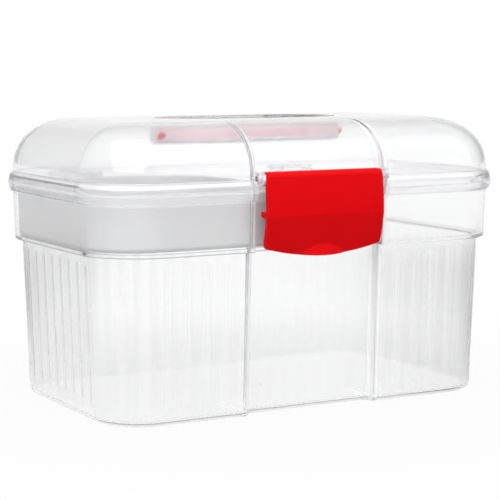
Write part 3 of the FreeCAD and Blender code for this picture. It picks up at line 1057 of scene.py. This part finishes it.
latch_edge_facets = 3
latch_edge_angle = 40
crease_shading = 11
latch_deep_red = (0.67, 0.001, 0.003)
latch_bright_red = (0.73, 0.003, 0.006)
soften(latch, latch_edge, latch_edge_facets, latch_edge_angle)
smooth(latch, crease_shading)
dress(latch, red_plastic("red_latch_plastic", latch_deep_red, latch_bright_red))
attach(latch, "latch")
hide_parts("latch")

# Stage: white paper on a table in a white studio, under a large soft lamp overhead and one at each side of
# the front. A strip straight behind the box is pure white and its sides are greyer, so that the edges of
# the clear walls show.
table_size = 60
backdrop_way = (0.49, 0.87, 0.0)
front_way = (0.49, -0.87, 0.0)
side_way = (0.87, -0.49, 0.0)
pure_white = (1, 1, 1, 1)
paper_shade = (0.4, 0.4, 0.4, 1)
paper_grey = (0.58, 0.58, 0.58, 1)
contact_from = 0.1
contact_to = 0.32
behind_from = -0.1
behind_to = 0.05
strip_shift = 0.04
strip_from = 0.06
strip_to = 0.3
grey_from = 0.55
grey_to = 0.95
seen_straight = 0.95
seen_through = 0.78
seen_mirrored = 0.95
bpy.ops.object.select_all(action="DESELECT")
bpy.ops.mesh.primitive_plane_add(size=table_size)
table = start_piece("table")
paper = bpy.data.materials.new("white_paper")
tree = new_tree(paper)


def ray_kind(tree, kind):
    """1 for rays of one kind and 0 for others."""
    return tree.node("ShaderNodeLightPath", output=kind)


def mirrored_rays(tree):
    """1 for rays off a shiny face, without those through clear plastic, which count as glossy too."""
    return ray_kind(tree, "Is Glossy Ray") * (1 - ray_kind(tree, "Is Transmission Ray"))


def towards(tree, place, way):
    """How far a place or a direction lies along a way."""
    return tree.node(
        "ShaderNodeVectorMath", {"operation": "DOT_PRODUCT"}, {0: place, 1: way}, output="Value"
    )


camera_rays = ray_kind(tree, "Is Camera Ray")
clear_rays = ray_kind(tree, "Is Transmission Ray")
shaded = tree.node("ShaderNodeBsdfDiffuse", inputs={"Color": paper_shade})
place = tree.node("ShaderNodeTexCoord", output="Object")
distance = tree.node("ShaderNodeVectorMath", {"operation": "LENGTH"}, {0: place}, output="Value")
far = ramp(tree, distance, contact_from, contact_to)
behind = ramp(tree, towards(tree, place, backdrop_way), behind_from, behind_to)
sideways = tree.maths("ABSOLUTE", towards(tree, place, side_way) + strip_shift, 0)
beside = ramp(tree, sideways, strip_from, strip_to)
close = ramp(tree, distance, grey_from, grey_to, 1.0, 0.0)
sheet = tree.node("ShaderNodeMix", {"data_type": "RGBA"}, {
    0: behind * beside * close * (1 - camera_rays), 6: pure_white, 7: paper_grey,
}, output=2)
white = tree.node("ShaderNodeEmission", inputs={"Color": sheet, "Strength": 1.0})
seen = camera_rays * (seen_straight + (1 - seen_straight) * far)
seen = seen + clear_rays * (seen_through + (1 - seen_through) * far)
seen = seen + mirrored_rays(tree) * seen_mirrored
paper_surface = tree.node("ShaderNodeMixShader", inputs={0: seen, 1: shaded, 2: white})
tree.node("ShaderNodeOutputMaterial", inputs={"Surface": paper_surface}, output=None)
dress(table, paper)


def soft_lamp(name, spot, target, width, height, power):
    """Rectangular soft lamp that faces a point."""
    lamp = bpy.data.lights.new(name, "AREA")
    lamp.shape = "RECTANGLE"
    lamp.size = width
    lamp.size_y = height
    lamp.energy = power
    stand = bpy.data.objects.new(name, lamp)
    stand.location = spot
    stand.rotation_euler = (Vector(target) - Vector(spot)).to_track_quat("-Z", "Y").to_euler()
    bpy.context.scene.collection.objects.link(stand)


box_middle = (0, 0, 0.075)
lamps = [
    ("overhead_lamp", (-0.35, -0.4, 1.4), 1.8, 1.8, 12),
    ("left_lamp", (-1.0, -1.0, 1.2), 1.8, 1.5, 20),
    ("right_lamp", (0.9, -1.2, 1.2), 2.2, 2.0, 10),
]
for name, spot, width, height, power in lamps:
    soft_lamp(name, spot, box_middle, width, height, power)

side_level = 0.54
side_level_drop = 0.16
front_level = 0.95
backdrop_level = 1
ceiling_level = 0.8
room_level = 0.24
room_level_rise = 0.36
upward_from = 0.2
upward_to = 0.8
backdrop_from = 0.8
backdrop_to = 0.985
front_from = 0.4
front_to = 0.95
world = bpy.data.worlds.new("studio")
bpy.context.scene.world = world
tree = new_tree(world)
direction = tree.node("ShaderNodeTexCoord", output="Generated")
upward = tree.node("ShaderNodeSeparateXYZ", inputs={0: direction}, output="Z")
upward = ramp(tree, upward, upward_from, upward_to)
behind = ramp(tree, towards(tree, direction, backdrop_way), backdrop_from, backdrop_to)
front = ramp(tree, towards(tree, direction, front_way), front_from, front_to)
mirrored = mirrored_rays(tree)
level = side_level - side_level_drop * mirrored
level = level + (front_level - level) * front
level = level + (backdrop_level - level) * behind
level = level + (ceiling_level - level) * upward


def glow(tree, strength):
    """White light from all around."""
    return tree.node("ShaderNodeBackground", inputs={"Color": pure_white, "Strength": strength})


room = glow(tree, room_level + room_level_rise * upward)
through = ray_kind(tree, "Is Transmission Ray") + mirrored
lit = tree.node("ShaderNodeMixShader", inputs={0: through, 1: room, 2: glow(tree, level)})
surroundings = tree.node("ShaderNodeMixShader", inputs={
    0: ray_kind(tree, "Is Camera Ray"), 1: lit, 2: glow(tree, 1.0),
})
tree.node("ShaderNodeOutputWorld", inputs={"Surface": surroundings}, output=None)
rays = bpy.context.scene.cycles
rays.max_bounces = 32
rays.transmission_bounces = 32
rays.glossy_bounces = 8
rays.transparent_max_bounces = 32

# Camera: a long lens at the front left of the box and a little above it, as the photograph was taken. Its
# place, its turn and the shift of its picture are fitted to the box's outlines there.
picture = 500
picture_centre = (251.24, 248.60)
focal_pixels = 1672.41
view_azimuth = math.radians(-29.227)
view_pitch = math.radians(6.564)
view_distance = 928.65 * mm
view_height = 185.83 * mm
lens = bpy.data.cameras.new("camera")
lens.sensor_width = 36
lens.lens = focal_pixels / picture * lens.sensor_width
lens.shift_x = 0.5 - picture_centre[0] / picture
lens.shift_y = picture_centre[1] / picture - 0.5
camera = bpy.data.objects.new("camera", lens)
camera.location = (
    math.sin(view_azimuth) * view_distance,
    -math.cos(view_azimuth) * view_distance,
    view_height,
)
camera.rotation_euler = (math.pi / 2 - view_pitch, 0, view_azimuth)
bpy.context.scene.collection.objects.link(camera)
bpy.context.scene.camera = camera
bpy.context.scene.view_settings.view_transform = "Standard"
